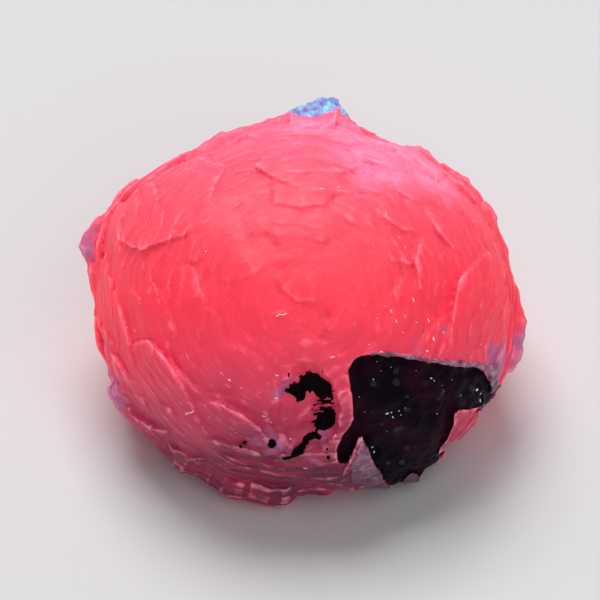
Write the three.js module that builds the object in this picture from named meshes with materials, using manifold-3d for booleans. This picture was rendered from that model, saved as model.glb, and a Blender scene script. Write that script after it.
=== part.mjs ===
// Pink calcite rosette: a rounded ball of calcite plates that overlap like the petals of a rose,
// grown round a piece of dark rock that shows low on its right. A dark crust curls round a broken
// hollow beside the rock, pale quartz lines the rock's edges, and a pale crust caps the top. It
// stands on the flat break where it came off its ledge. Millimetres, +Z up, and the middle of the
// rosette faces forward and up. The origin is on that flat break, under the ball's middle.
import * as THREE from "three";
import { mergeVertices } from "three/addons/utils/BufferGeometryUtils.js";
import Module from "manifold-3d";

const degrees = THREE.MathUtils.degToRad;

// The ball: its outline round the rosette's axis every 30 degrees from the right, its depths
// before and behind that outline, how far its core lies under the plates, and the tilt of the
// axis above the horizon.
const OUTLINE_RADII = [32.6, 31.0, 27.6, 28.0, 27.2, 31.8, 31.4, 31.0, 30.2, 29.6, 31.6, 32.6];
const FRONT_DEPTH = 26.5;
const BACK_DEPTH = 24;
const MEAN_RADIUS = 29;
const CORE_INSET = 0.9;
const AXIS_ELEVATION = degrees(50);
const MIDDLE_HEIGHT = 21.5;

// The rings of plates: how far apart the free edges of two rings stand and how far apart the
// plates of a ring stand, in front and behind, and where the free edges of the first ring, of the
// first one behind and of the last one lie.
const RING_SPACING = 5.8;
const PLATE_SPACING = 12.6;
const BACK_RING_SPACING = 7.6;
const BACK_PLATE_SPACING = 18;
const FIRST_RING = degrees(4);
const BACK_RING = degrees(80);
const LAST_RING = degrees(140);

// One plate: its length from free edge to root, its half width as a share of its place in the
// ring, its thickness, how far its root tapers into the ball, how far it stands over the ball, how
// uneven its corners are, and how steeply it lifts its free edge towards the rosette's middle and
// one end of it towards the top.
const PLATE_LENGTH = 13.5;
const HALF_WIDTH_SHARE = 0.62;
const PLATE_THICKNESS = 0.8;
const PLATE_ROOT = 12;
const PLATE_SIDES = 6;
const PLATE_RISE = -0.6;
const CORNER_UNEVENNESS = 0.15;
const EDGE_LIFT = degrees(14);
const END_LIFT = degrees(8);

// The plates seen edge on round the outline, each from its lifted end to its other end, in
// degrees round the axis from the right.
const OUTLINE_PLATES = [
  [-6, -24], [10, -8], [29, 9], [43, 27], [69, 42], [78, 66], [128, 148], [143, 168], [166, 197],
  [199, 236], [234, 262], [260, 286],
];
const OUTLINE_PLATE_POLAR = degrees(87);
const OUTLINE_PLATE_RISE = 0.8;
const OUTLINE_END_LIFT = degrees(12);

// The minerals in the ball. Each has an outline on the rosette's face, clockwise, across and up
// from the axis. Its broken surface lies an inset under the ball's, from the lowest to the highest
// part of the face that holds minerals, and is rough. It goes into the ball to a depth.
const MINERALS = {
  dark_rock: {
    outline: [
      [6.8, -11.0], [8.1, -9.3], [8.9, -8.5], [13.6, -8.4], [18.7, -9.2], [28.0, -10.3], [29.4, -12.6],
      [29.3, -14.2], [27.6, -15.9], [24.4, -17.0], [23.4, -18.4], [22.2, -21.6], [25.4, -25.4],
      [24.0, -34.0], [13.6, -34.0], [11.6, -27.0], [9.8, -22.5], [8.9, -21.1],
      [8.1, -22.3], [7.8, -24.4], [6.7, -25.2], [5.0, -24.7], [5.1, -23.0], [6.2, -20.6], [7.3, -18.8],
    ],
    insets: [0.2, 2.8],
    roughness: 2.2,
    depth: 30,
  },
  quartz_wedge: {
    outline: [
      [8.9, -21.3], [10.2, -24.8], [13.2, -34.0], [7.6, -34.0], [6.9, -27.2], [7.2, -25.4],
    ],
    insets: [0.9, 0.9],
    roughness: 0.6,
    depth: 5,
  },
  quartz_rim: {
    outline: [
      [11.4, -7.6], [14.0, -6.9], [17.6, -7.3], [20.6, -8.1], [28.6, -9.4], [30.6, -11.6], [31.6, -14.0],
      [30.2, -16.2], [27.0, -18.0], [28.4, -14.0], [26.0, -11.6], [12.0, -9.4],
    ],
    insets: [-0.2, -0.2],
    roughness: 0.7,
    depth: 2.2,
  },
  dark_crust: {
    outline: [
      [-2.4, -14.1], [-1.0, -13.1], [-0.5, -11.7], [1.2, -11.0], [3.3, -12.0], [4.5, -12.9], [5.0, -16.0],
      [5.1, -18.7], [4.5, -19.9], [2.9, -20.1], [1.8, -18.9], [2.7, -17.0], [2.1, -15.6], [2.5, -14.1],
      [1.2, -13.8], [-0.4, -15.6], [-1.6, -15.1],
    ],
    insets: [0.5, 0.5],
    roughness: 0.7,
    depth: 3,
  },
  dark_crust_tail: {
    outline: [
      [-3.4, -24.1], [-0.8, -22.8], [0.2, -21.3], [1.2, -20.8], [2.8, -21.2], [2.7, -22.0], [1.0, -22.4],
      [0.0, -23.8], [-2.8, -24.9],
    ],
    insets: [0.2, 0.2],
    roughness: 0.5,
    depth: 2.6,
  },
  dark_grain: {
    outline: [[-5.8, -22.2], [-5.0, -21.4], [-4.1, -21.9], [-4.3, -22.8], [-5.2, -23.1]],
    insets: [0.1, 0.1],
    roughness: 0.4,
    depth: 2.4,
  },
};
const INSET_HEIGHTS = [-29, -8];

// The right arm of the dark rock lies on a shelf of calcite, this far across and this deep.
const SHELF_ACROSS = 21.4;
const SHELF_DEPTH = -1;

// The broken hollow left of the rock: its middle on the face, its radii across, up and deep, and
// how far its middle stands out of the ball.
const HOLLOW_ACROSS = 0.4;
const HOLLOW_UP = -17.2;
const HOLLOW_RADII = [6.2, 9.2, 3.6];
const HOLLOW_RISE = 1.3;

// The minerals that grew as lumps. Each lump has its place across and up on the face and out of
// it, and its radius.
const LUMPS = {
  pale_crust: [
    [-1.7, 28.9, 1.4, 1.2], [0.2, 29.5, 0.8, 1.4], [2.2, 30.2, 1.6, 1.7], [4.2, 30.4, 0.8, 1.6],
    [5.8, 29.4, 1.0, 1.2],
  ],
  quartz_foot: [[15.6, -27.4, 5.0, 1.2], [16.9, -26.9, 3.8, 1.1], [18.3, -26.0, 3.4, 1.1]],
};

// The gap that touching minerals keep between them, the larger one that lumps need so that their
// flat sides keep it, and a reach past everything here.
const SEAM = 0.3;
const LUMP_SEAM = 0.42;
const FAR = 60;

const wasm = await Module();
wasm.setup();

// A fixed value from 0 to 1 for a whole number, so that every build grows the same crystals.
function chance(n) {
  const wave = Math.sin(n * 12.9898 + 4.1414) * 43758.5453;
  return wave - Math.floor(wave);
}

// A fixed value between minus and plus a limit.
function within(limit, n) {
  return limit * (2 * chance(n) - 1);
}

// A fixed value about a middle one, up to a share of it to either side.
function about(middle, share, n) {
  return middle * (1 + within(share, n));
}

// The rosette's face as a frame: across to the right, up over the face, and out of it.
const ACROSS = new THREE.Vector3(1, 0, 0);
const UP = new THREE.Vector3(0, Math.sin(AXIS_ELEVATION), Math.cos(AXIS_ELEVATION));
const OUT = new THREE.Vector3(0, -Math.cos(AXIS_ELEVATION), Math.sin(AXIS_ELEVATION));
const FACE = new THREE.Matrix4()
  .makeBasis(ACROSS, UP, OUT)
  .setPosition(new THREE.Vector3(0, 0, MIDDLE_HEIGHT));

// The outline's radius at an angle, on a smooth closed curve through the driving radii.
function outlineRadius(angle) {
  const count = OUTLINE_RADII.length;
  const place = ((angle / (2 * Math.PI)) * count + count) % count;
  const i = Math.floor(place);
  const t = place - i;
  const [a, b, c, d] = [-1, 0, 1, 2].map((k) => OUTLINE_RADII[(i + k + count) % count]);
  return b + 0.5 * t * (c - a + t * (2 * a - 5 * b + 4 * c - d + t * (3 * (b - c) + d - a)));
}

// A point on the ball, at an angle from the rosette's axis and one round it, in the face's frame.
function onBall(polar, angle, inset = 0) {
  const depth = (polar < Math.PI / 2 ? FRONT_DEPTH : BACK_DEPTH) - inset;
  const radius = outlineRadius(angle) - inset;
  const reach = 1 / Math.hypot(Math.cos(polar) / depth, Math.sin(polar) / radius);
  return new THREE.Vector3(
    reach * Math.sin(polar) * Math.cos(angle),
    reach * Math.sin(polar) * Math.sin(angle),
    reach * Math.cos(polar),
  );
}

// A frame on the ball: on round the ring, towards the axis, and outwards, at a rise over the ball.
function frameOnBall(polar, angle, rise) {
  const at = onBall(polar, angle);
  const towardsAxis = onBall(polar - 0.02, angle).sub(at).normalize();
  const round = onBall(polar, angle + 0.02).sub(at).normalize();
  const outward = new THREE.Vector3().crossVectors(towardsAxis, round).normalize();
  if (outward.dot(at) < 0) outward.negate();
  const side = new THREE.Vector3().crossVectors(towardsAxis, outward).normalize();
  const frame = new THREE.Matrix4().makeBasis(side, towardsAxis, outward);
  return frame.setPosition(at.addScaledVector(outward, rise));
}

// A geometry with only its places left and its shared corners merged.
function mergedCorners(geometry) {
  geometry.deleteAttribute("normal");
  geometry.deleteAttribute("uv");
  return mergeVertices(geometry, 1e-4);
}

// A closed geometry in the face's frame as a solid of the model.
function solidOf(geometry) {
  const merged = mergedCorners(geometry.clone().applyMatrix4(FACE));
  const vertProperties = new Float32Array(merged.attributes.position.array);
  const triVerts = new Uint32Array(merged.index.array);
  return new wasm.Manifold(new wasm.Mesh({ numProp: 3, vertProperties, triVerts }));
}

// The largest shell of a solid, which leaves out loose chips and sealed gaps.
function outerShell(solid) {
  return solid.decompose().reduce((best, shell) => (shell.volume() > best.volume() ? shell : best));
}

// A plate: a flat crystal of a few uneven sides, with a thin rim and a root that tapers into the
// ball. Its free edge is towards +Y.
function plateGeometry(halfWidth, halfLength, thickness, seed) {
  const profile = [
    new THREE.Vector2(0, -PLATE_ROOT),
    new THREE.Vector2(1, -thickness / 2),
    new THREE.Vector2(0.97, thickness / 2),
    new THREE.Vector2(0, thickness / 2),
  ];
  const plate = mergedCorners(new THREE.LatheGeometry(profile, PLATE_SIDES).rotateX(Math.PI / 2));
  const place = plate.attributes.position;
  for (let i = 0; i < place.count; i++) {
    const turn = Math.atan2(place.getY(i), place.getX(i)) / (2 * Math.PI);
    const corner = Math.floor((turn + 1) * PLATE_SIDES) % PLATE_SIDES;
    const reach = about(1, CORNER_UNEVENNESS, seed + corner);
    place.setXY(i, place.getX(i) * reach, place.getY(i) * reach);
  }
  return plate.rotateZ(within(0.25, seed + 9)).scale(halfWidth, halfLength, 1);
}

// A plate set on the ball, its free edge lifted, and so is its end that is further round the ring.
function plateOnBall({ polar, angle, halfWidth, halfLength, thickness, lift, endLift, yaw, rise, seed }) {
  return plateGeometry(halfWidth, halfLength, thickness, seed)
    .rotateX(lift)
    .rotateY(-endLift)
    .rotateZ(yaw)
    .applyMatrix4(frameOnBall(polar, angle, rise));
}

// Rings of plates from the rosette's middle round to its back, each ring's edges over the last.
function ringsOfPlates() {
  const plates = [];
  let edge = FIRST_RING;
  for (let ring = 0; edge < LAST_RING; ring++) {
    const inFront = edge < BACK_RING;
    const middle = edge + (0.45 * PLATE_LENGTH) / MEAN_RADIUS;
    const around = 2 * Math.PI * MEAN_RADIUS * Math.sin(middle);
    const count = Math.round(around / (inFront ? PLATE_SPACING : BACK_PLATE_SPACING));
    for (let i = 0; i < count; i++) {
      const seed = ring * 100 + i * 7;
      const angle = (2 * Math.PI * (i + 0.5 * (ring % 2) + within(0.3, seed + 3))) / count;
      plates.push(
        plateOnBall({
          polar: middle + within(0.35 * RING_SPACING, seed + 2) / MEAN_RADIUS,
          angle,
          halfWidth: about((HALF_WIDTH_SHARE * around) / count, 0.12, seed),
          halfLength: about(PLATE_LENGTH / 2, 0.1, seed + 1),
          thickness: about(PLATE_THICKNESS, 0.2, seed + 4),
          lift: about(EDGE_LIFT, 0.2, seed + 5),
          endLift: END_LIFT * chance(seed + 6) * Math.cos(angle),
          yaw: within(0.15, seed + 7),
          rise: PLATE_RISE + within(0.25, seed + 8),
          seed,
        }),
      );
    }
    edge += (inFront ? RING_SPACING : BACK_RING_SPACING) / MEAN_RADIUS;
  }
  return plates;
}

// The plates seen edge on round the outline. A wide one sits lower, so that its ends stand out.
function platesRoundTheOutline() {
  return OUTLINE_PLATES.map(([liftedEnd, otherEnd], i) => {
    const angle = degrees((liftedEnd + otherEnd) / 2);
    const halfWidth = 0.6 * degrees(Math.abs(liftedEnd - otherEnd)) * outlineRadius(angle);
    return plateOnBall({
      polar: OUTLINE_PLATE_POLAR,
      angle,
      halfWidth,
      halfLength: PLATE_LENGTH / 2,
      thickness: PLATE_THICKNESS,
      lift: EDGE_LIFT / 4,
      endLift: OUTLINE_END_LIFT * Math.sign(liftedEnd - otherEnd),
      yaw: 0,
      rise: OUTLINE_PLATE_RISE - (0.6 * halfWidth ** 2) / (2 * MEAN_RADIUS),
      seed: 5000 + i * 11,
    });
  });
}

// A ball some inset inside the plates' ball, its corners moved in and out by its roughness.
function insetBall(detail, insetAt, roughness, seed) {
  const ball = mergedCorners(new THREE.IcosahedronGeometry(1, detail));
  const place = ball.attributes.position;
  for (let i = 0; i < place.count; i++) {
    const polar = Math.acos(place.getZ(i));
    const angle = Math.atan2(place.getY(i), place.getX(i));
    const inset = insetAt(onBall(polar, angle).y) + roughness * (chance(seed + i) - 0.5);
    place.setXYZ(i, ...onBall(polar, angle, inset).toArray());
  }
  return solidOf(ball);
}

// An outline moved outwards by a distance, corner by corner.
function widened(outline, distance) {
  return outline.map((corner, i) => {
    const here = new THREE.Vector2(...corner);
    const before = new THREE.Vector2(...outline.at(i - 1));
    const after = new THREE.Vector2(...outline[(i + 1) % outline.length]);
    const arriving = here.clone().sub(before).normalize();
    const leaving = after.sub(here).normalize();
    const edgeNormal = new THREE.Vector2(-arriving.y, arriving.x);
    const outwards = new THREE.Vector2(-leaving.y, leaving.x).add(edgeNormal).normalize();
    return here.addScaledVector(outwards, distance / Math.max(0.5, outwards.dot(edgeNormal)));
  });
}

// What lies over an outline of the face, from far behind it to far before it.
function column(outline, distance = 0) {
  const shape = new THREE.Shape(widened(outline, distance));
  const block = new THREE.ExtrudeGeometry(shape, { depth: 2 * FAR, bevelEnabled: false });
  return solidOf(block.translate(0, 0, -FAR));
}

// The calcite shelf under the rock's right arm.
function shelf(distance = 0) {
  const block = new THREE.BoxGeometry(FAR, 2 * FAR, FAR);
  return solidOf(block.translate(SHELF_ACROSS - distance + FAR / 2, 0, SHELF_DEPTH + distance - FAR / 2));
}

// The room that a mineral takes up in the calcite, with its seam.
function roomFor({ outline, depth }) {
  return column(outline, SEAM).subtract(insetBall(6, () => depth + SEAM, 0, 0)).subtract(shelf());
}

// A mineral in its room, under its own broken surface.
function mineralIn({ outline, insets, roughness, depth }, seed) {
  const insetAt = (height) => THREE.MathUtils.mapLinear(height, ...INSET_HEIGHTS, ...insets);
  return column(outline)
    .intersect(insetBall(6, insetAt, roughness, seed))
    .subtract(insetBall(6, () => depth, 0, 0))
    .subtract(shelf(SEAM));
}

// The hollow's bowl, level with the ball where it lies.
function hollow() {
  const polar = Math.asin(Math.hypot(HOLLOW_ACROSS, HOLLOW_UP) / MEAN_RADIUS);
  const frame = frameOnBall(polar, Math.atan2(HOLLOW_UP, HOLLOW_ACROSS), HOLLOW_RISE);
  return solidOf(new THREE.SphereGeometry(1, 12, 8).scale(...HOLLOW_RADII).applyMatrix4(frame));
}

// Lumps grown together, which are small broken blocks, all larger by a distance.
function lumpsTogether(lumps, distance = 0) {
  return lumps
    .map(([across, up, out, radius], i) => {
      const block = mergedCorners(new THREE.IcosahedronGeometry(1, 0));
      const place = block.attributes.position;
      for (let k = 0; k < place.count; k++) {
        const reach = about(radius, 0.2, 7000 + i * 13 + k) + distance;
        place.setXYZ(k, place.getX(k) * reach, place.getY(k) * reach, place.getZ(k) * reach);
      }
      return solidOf(block.translate(across, up, out));
    })
    .reduce((whole, lump) => whole.add(lump));
}

// Everything under the flat break that the specimen stands on.
function belowBreak() {
  const block = new THREE.BoxGeometry(4 * FAR, 4 * FAR, FAR).translate(0, 0, -FAR / 2);
  return solidOf(block.applyMatrix4(FACE.clone().invert()));
}

// The core and the plates of calcite in one.
function ballOfPlates() {
  const core = insetBall(3, () => CORE_INSET, 0, 0);
  const plates = [...ringsOfPlates(), ...platesRoundTheOutline()];
  return plates.reduce((whole, plate) => whole.add(solidOf(plate)), core);
}

// A solid with several others cut out of it.
function without(solid, cuts) {
  return outerShell(cuts.reduce((left, cut) => left.subtract(cut), solid));
}

function meshOf(name, solid, material) {
  const { vertProperties, triVerts } = solid.getMesh();
  const geometry = new THREE.BufferGeometry();
  geometry.setAttribute("position", new THREE.BufferAttribute(vertProperties, 3));
  geometry.setIndex(new THREE.BufferAttribute(triVerts, 1));
  const mesh = new THREE.Mesh(geometry, material);
  mesh.name = name;
  return mesh;
}

const stone = (color, roughness) => new THREE.MeshStandardMaterial({ color, roughness, metalness: 0 });
const MATERIALS = {
  calcite: () => stone(0xf4566c, 0.42),
  dark: () => stone(0x1c1018, 0.5),
  quartz: () => stone(0xb79ac0, 0.35),
  pale: () => stone(0xa9c4f0, 0.6),
};

// What every mineral gives way to: the break, the lumps' rooms and, but for the rock, the rock's.
const rooms = Object.values(MINERALS).map(roomFor);
const rockRoom = roomFor(MINERALS.dark_rock);
const lumpRooms = Object.values(LUMPS).map((lumps) => lumpsTogether(lumps, LUMP_SEAM));
const shared = [belowBreak(), ...lumpRooms];

const calcite = without(ballOfPlates(), [hollow(), ...shared, ...rooms]);
const minerals = Object.entries(MINERALS).map(([name, mineral], i) => {
  const cuts = name === "dark_rock" ? shared : [...shared, rockRoom];
  return [name, without(mineralIn(mineral, 300 * (i + 1)), cuts)];
});
const lumps = Object.entries(LUMPS).map(([name, places]) => [name, lumpsTogether(places)]);

const rosette = new THREE.Group();
for (const [name, solid] of [["calcite_rosette", calcite], ...minerals, ...lumps]) {
  rosette.add(meshOf(name, solid, MATERIALS[name.split("_")[0]]()));
}

export default rosette;
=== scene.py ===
"""The pink calcite rosette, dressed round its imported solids.

A ball of thin calcite plates, overlapping like petals, holds a piece of dark rock, a curl of dark
crust round a broken hollow, seams of pale quartz and a pale crust on top. Lengths are in
millimetres until a mesh is placed, and the finished pieces are in metres, in the part's frame.
"""

import math

import bpy
from bpy.props import FloatProperty, FloatVectorProperty, PointerProperty
from mathutils import Matrix, Vector, noise


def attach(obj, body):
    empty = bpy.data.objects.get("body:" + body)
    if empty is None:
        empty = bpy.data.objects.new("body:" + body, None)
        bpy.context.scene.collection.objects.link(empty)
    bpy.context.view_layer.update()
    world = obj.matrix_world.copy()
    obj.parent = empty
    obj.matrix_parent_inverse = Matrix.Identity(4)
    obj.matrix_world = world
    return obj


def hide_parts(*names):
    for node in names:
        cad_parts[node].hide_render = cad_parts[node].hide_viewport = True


bl_info = {
    "name": "Pink Calcite Rosette",
    "version": (1, 0, 0),
    "blender": (4, 5, 0),
    "location": "View3D > Sidebar > Rosette",
    "description": "Builds a pink calcite rosette with its rock, crusts, quartz and stage",
    "category": "Add Mesh",
}

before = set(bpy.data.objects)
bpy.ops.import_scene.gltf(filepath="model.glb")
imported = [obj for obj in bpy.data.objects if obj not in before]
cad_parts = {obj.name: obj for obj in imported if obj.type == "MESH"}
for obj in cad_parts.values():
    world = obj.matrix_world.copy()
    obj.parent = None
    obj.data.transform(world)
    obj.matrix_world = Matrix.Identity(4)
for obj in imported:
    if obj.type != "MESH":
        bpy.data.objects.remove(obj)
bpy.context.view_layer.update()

MM = 0.001

# The ball: its outline round the rosette's axis every 30 degrees from the right, its depths before
# and behind that outline, how far its core lies under the plates, the tilt of its axis and how
# high its middle stands.
OUTLINE_RADII = [32.6, 31.0, 27.6, 28.0, 27.2, 31.8, 31.4, 31.0, 30.2, 29.6, 31.6, 32.6]
FRONT_DEPTH = 26.5
BACK_DEPTH = 24
MEAN_RADIUS = 29
CORE_INSET = 0.9
AXIS_ELEVATION = math.radians(50)
MIDDLE_HEIGHT = 21.5

# The rings of plates: how far apart the free edges of two rings stand and the plates of one ring,
# and where the free edges of the first ring and of the last one lie.
RING_SPACING = 2.9
PLATE_SPACING = 12.6
FIRST_RING = math.radians(4)
LAST_RING = math.radians(142)

# One plate: its length from free edge to root, its half width as a share of its place in the ring,
# its rise over the ball, how deep its root tapers, and how steeply its free edge and ends lift.
PLATE_LENGTH = 13.5
HALF_WIDTH_SHARE = 0.66
PLATE_SIDES = 14
PLATE_ROOT = 9.0
PLATE_RISE = 0.35
PLATE_SIDE_SAG = 0.75
EDGE_LIFT = math.radians(7)
END_LIFT = math.radians(3)

# The free edges of the sheets that show most on the rosette's face, in the picture's pixels, how
# far each sheet reaches from that edge away from the axis and how high its edge stands.
FRONT_SHEETS = [
    ([(254, 284), (262, 272), (275, 265), (288, 263), (301, 267), (325, 264), (342, 272)], 8, 0.75),
    ([(362, 228), (374, 240), (391, 251), (400, 260), (410, 258)], 9, 0.9),
    ([(315, 193), (333, 192), (350, 188)], 6, 0.7),
    ([(321, 200), (337, 199), (354, 194)], 6, 0.6),
    ([(272, 175), (287, 179), (303, 177)], 7, 0.6),
    ([(290, 148), (305, 147), (324, 143)], 6, 0.6),
    ([(333, 160), (351, 166), (374, 168)], 7, 0.7),
    ([(248, 208), (280, 202), (294, 197), (318, 200)], 8, 0.65),
    ([(290, 231), (312, 228), (331, 231)], 7, 0.5),
    ([(221, 243), (233, 226), (246, 216)], 8, 0.6),
    ([(408, 157), (419, 169), (436, 184)], 6, 0.7),
    ([(386, 150), (398, 160), (411, 168)], 5, 0.6),
    ([(447, 225), (452, 250), (453, 290)], 6, 0.6),
    ([(462, 240), (468, 270), (468, 305)], 6, 0.6),
    ([(478, 250), (486, 285), (486, 325)], 5, 0.6),
    ([(432, 262), (436, 290), (434, 310)], 6, 0.5),
    ([(129, 207), (124, 222), (122, 236), (121, 256)], 5, 0.8),
    ([(151, 233), (156, 221), (163, 213)], 6, 0.7),
    ([(173, 240), (175, 257), (172, 278)], 6, 0.6),
    ([(196, 250), (192, 275), (194, 300)], 7, 0.5),
    ([(98, 262), (99, 292), (108, 326), (121, 352)], 4, 0.7),
    ([(112, 262), (114, 290), (121, 314), (132, 340)], 5, 0.7),
    ([(140, 270), (142, 300), (150, 330)], 6, 0.5),
    ([(112, 338), (119, 356), (132, 372), (139, 386)], 5, 0.9),
    ([(116, 374), (127, 391), (141, 411), (159, 423), (174, 431)], 6, 1.1),
    ([(160, 352), (168, 374), (184, 394)], 7, 0.7),
    ([(176, 384), (193, 388), (208, 396), (220, 405), (232, 418)], 8, 1.0),
    ([(184, 411), (196, 416), (206, 425), (217, 439), (231, 456), (246, 464)], 9, 1.1),
    ([(172, 441), (190, 449), (208, 457)], 6, 0.9),
    ([(240, 448), (259, 457), (281, 464), (312, 468)], 8, 0.9),
    ([(226, 475), (259, 484), (309, 486)], 6, 0.8),
    ([(318, 470), (334, 474), (352, 480)], 6, 0.7),
]

# The sheets seen edge on round the outline: the picture's pixels along each sheet's outer edge, and
# how far it reaches before and behind the outline.
OUTLINE_SHEETS = [
    ([(336, 104), (347, 115), (349, 121), (356, 123), (363, 131), (367, 138)], 5, -6),
    ([(366, 142), (376, 139.5), (387, 140.5), (392, 145), (397, 149)], 3, -8),
    ([(396, 148), (408, 145), (423, 147), (431, 153), (440, 164), (449, 174)], 6, -6),
    ([(452, 170), (460, 173), (468, 177), (473, 186), (482, 205)], 4, -8),
    ([(485, 201), (492, 207), (496, 213), (498, 222), (500, 239), (505, 250), (506, 260),
      (502, 270)], 6, -6),
    ([(505, 271), (512, 279), (517, 288), (521, 294), (521, 302), (525, 312), (528, 322),
      (525, 336), (523, 357), (512, 373)], 4, -7),
    ([(154, 181), (149, 177), (144, 176), (139, 181), (134, 191), (130, 199)], 4, -6),
    ([(133, 197), (126, 201), (112, 208), (106, 213), (99, 217), (95, 218)], 2, -8),
    ([(99, 216), (95, 218), (90, 224), (89, 229), (84, 231), (80, 241), (76.5, 245), (80, 250),
      (87, 265)], 3, -5),
    ([(87, 262), (86.5, 272), (89, 284), (94, 299), (94, 316), (98, 326), (100, 340),
      (107, 359)], 4, -7),
    ([(107, 357), (107, 371), (111, 381), (112, 390)], 3, -5),
    ([(106, 388), (109, 396), (116, 408), (127, 420), (138, 431), (146, 436), (159, 449),
      (172, 463)], 6, -5),
    ([(160, 449), (172, 464), (180, 472), (193, 475), (202, 478), (207, 484)], 8, -3),
    ([(200, 477), (206, 484), (215, 488), (222, 496), (231, 499), (246, 500), (259, 503)], 7, -2),
    ([(247, 500), (259, 503), (270, 506.5), (285, 506), (295, 499), (302, 495), (320, 491),
      (345, 489)], 9, -2),
    ([(184, 157), (188, 153), (200, 144), (212, 137), (222, 132)], 4, -7),
    ([(221, 133), (240, 127), (262, 122), (282, 114), (292, 110)], 5, -6),
    ([(290, 111), (297, 114), (305, 115), (315, 115.5), (322, 113), (330, 110.5),
      (338, 107)], 9, 3),
    ([(144, 177), (157, 174), (168, 163), (180, 160), (192, 151)], 3, -7),
]

# The minerals' outlines in the picture's pixels, clockwise.
OUTLINES = {
    "rock_room": [
        (347, 370), (352, 360), (358, 356), (368, 353.5), (383, 354), (398, 355.5), (412, 358),
        (426, 360.5), (442, 362.5), (458, 364.5), (478, 366.5), (483, 371), (486, 376), (492, 387),
        (488, 398), (478, 406.5), (468, 409), (458, 410), (454, 414), (453, 424), (449, 433),
        (446, 440), (441, 446), (434, 461.5), (430, 520), (400, 520), (389, 486), (377, 469),
        (371, 460), (366, 448), (361, 436), (358, 437), (354, 448), (348, 462), (338, 461.5),
        (336, 450), (338, 443), (342, 434), (349, 426), (353, 418), (352, 405), (350, 386),
    ],
    "under_the_outline": [
        (330, 490), (345, 489), (352, 490.5), (368, 486), (389, 487), (402, 482), (418, 480),
        (425, 469), (435, 462.5), (447, 462), (443, 447), (447, 441), (466, 440), (474, 429),
        (477, 418), (480, 409), (491, 400), (497, 391), (503, 383), (512, 373), (518, 362),
        (580, 380), (580, 580), (330, 580),
    ],
    "quartz_wedge": [
        (361, 435), (367, 448), (372, 460), (378, 469), (390, 488), (368, 488), (351, 482),
        (350, 466), (356, 452),
    ],
    "rim_top": [
        (370, 350.5), (398, 352.5), (426, 357.2), (446, 359.5), (466, 361.5), (480, 363),
        (489, 366),
        (487, 374), (479, 368), (458, 366), (426, 362), (398, 357), (370, 355),
    ],
    "rim_end": [
        (486, 366), (491, 363), (497, 361), (500, 367), (496.5, 374), (498, 381), (502, 387),
        (496, 396), (489, 403), (481, 411), (477, 407), (487, 398), (491, 388), (488, 379),
    ],
    "quartz_foot": [(402, 483), (407, 475), (412, 472.5), (418, 474), (420, 483)],
    "pale_crust": [
        (284, 116), (291, 111), (297, 108), (303, 108), (309, 104), (314, 103), (318, 98.5),
        (325, 99), (332, 98), (336, 101), (338, 105), (342, 108), (347, 117), (344, 128),
        (286, 128),
    ],
    "dark_crust_cap": [
        (288, 391), (290, 384), (298.7, 382), (300, 377.5), (306.5, 372.5), (311, 370.5),
        (318.7, 373.7), (322, 377.5), (328.7, 381.5), (331, 386), (332, 392), (333.5, 397),
        (327, 396), (323, 398), (319, 396.5), (316.5, 394), (314, 391), (309.8, 388.7),
        (305.3, 391), (306, 395), (303, 399), (300.3, 400.3), (295.3, 396.5),
    ],
    "dark_crust_foot": [
        (314, 419.8), (317.5, 415), (322, 411), (329, 410), (335.3, 411), (334.8, 417.5),
        (333, 424), (329.8, 427.5), (322, 429), (316.5, 428),
    ],
    "dark_crust_tail": [
        (281, 456.5), (290, 454.5), (295, 446.5), (301, 442), (305, 434), (310, 431),
        (317.5, 430.5),
        (321, 435), (319.5, 439), (314, 437), (310, 439.5), (306.5, 444), (303, 451), (300, 454),
        (291, 457), (284, 458),
    ],
    "dark_grain": [(268, 444), (269.5, 439), (272, 437.5), (275.5, 439), (276, 444), (272, 447.5)],
}

# The ribs of the dark crust, from their left ends to their right ones, and its loose specks with
# their sizes, in the picture's pixels.
CRUST_RIBS = [
    (318, 399.5, 333, 398.5), (320, 402.8, 334.5, 402), (319, 406, 334.8, 405.5),
    (314, 409.5, 334.5, 408.6), (312.5, 413.5, 326, 411.5), (313, 404.5, 320, 403),
]
CRUST_SPECKS = [
    (289, 373, 1.3), (289.3, 376, 1.0), (294, 382, 1.6), (286.5, 389, 1.5), (301, 376, 1.2),
    (310, 369.5, 0.8), (322, 371, 0.7), (322.5, 368.5, 0.6), (327, 447.5, 1.1), (328, 456, 1.5),
    (326, 452, 0.8), (310, 391.5, 1.1), (317, 400, 0.9), (312, 408, 0.7), (245, 442, 2.6),
    (241, 445, 1.4), (312.5, 420.5, 1.1), (336, 405, 1.0), (307, 372, 1.4), (316, 430, 1.5),
    (334, 390, 0.9), (298, 399.5, 1.3),
]

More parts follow.
